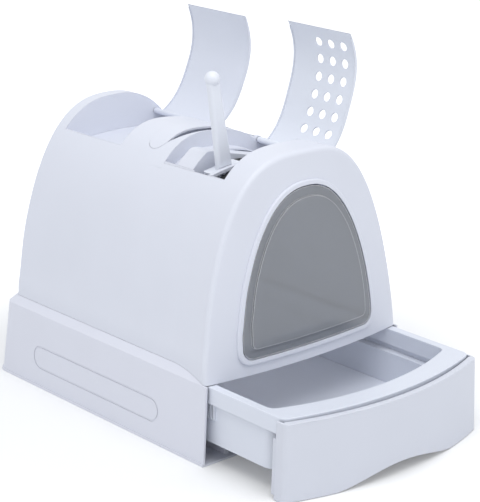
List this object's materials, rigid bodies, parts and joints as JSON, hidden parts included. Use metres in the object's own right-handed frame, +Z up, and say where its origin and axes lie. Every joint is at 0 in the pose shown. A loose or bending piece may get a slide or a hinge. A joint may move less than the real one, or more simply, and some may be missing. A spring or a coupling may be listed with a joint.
{
  "type": "covered litter box",
  "caption": "Covered cat litter box with an arched hood, smoked swing door, pull-out litter drawer, lidded filter and bag compartments, scoop and carry handle.",
  "frame": {"origin": "middle of the tub's footprint, on the floor it stands on", "axes": "+Z up, -Y to the front where the drawer pulls out, +X to the right seen from the front"},
  "size_m": [0.395, 0.7052, 0.5635],
  "materials": {
    "white_plastic": "fine satin",
    "smoked_plastic": "clear smoked, polished",
    "black_foam": "open-celled foam"
  },
  "bodies": {
    "tub": {"base_shell": "white_plastic"},
    "hood": {"hood_shell": "white_plastic", "carry_handle": "white_plastic", "carbon_filter": "black_foam", "filter_bar": "white_plastic"},
    "drawer": {"litter_tray": "white_plastic", "tray_rim": "white_plastic", "drawer_front": "white_plastic"},
    "door": {"entrance_door": "smoked_plastic"},
    "rear_lid": {"rear_lid": "white_plastic"},
    "front_lid": {"front_lid": "white_plastic"},
    "scoop": {"scoop": "white_plastic"}
  },
  "joints": [
    {"name": "hood_lift", "type": "slide", "parent": "tub", "child": "hood", "axis": [0, 0, 1], "range_m": [0, 0.05]},
    {"name": "drawer_slide", "type": "slide", "parent": "tub", "child": "drawer", "axis": [0, 1, 0], "range_m": [-0.35, 0.142]},
    {"name": "door_hinge", "type": "hinge", "parent": "hood", "child": "door", "pos_m": [0, -0.24429, 0.361], "axis": [1, 0, 0], "range_deg": [-50, 60]},
    {"name": "rear_lid_hinge", "type": "hinge", "parent": "hood", "child": "rear_lid", "pos_m": [0.082, 0.124, 0.389], "axis": [0, 1, 0], "range_deg": [-113, 0]},
    {"name": "front_lid_hinge", "type": "hinge", "parent": "hood", "child": "front_lid", "pos_m": [0.082, -0.121, 0.389], "axis": [0, 1, 0], "range_deg": [-109, 0]},
    {"name": "scoop_lift", "type": "slide", "parent": "hood", "child": "scoop", "axis": [-0.1564, 0, 0.9877], "range_m": [0, 0.321]}
  ],
  "couplings": [
    {"joint": "scoop_lift", "follows": "front_lid_hinge", "m_per_rad": -0.16821}
  ]
}
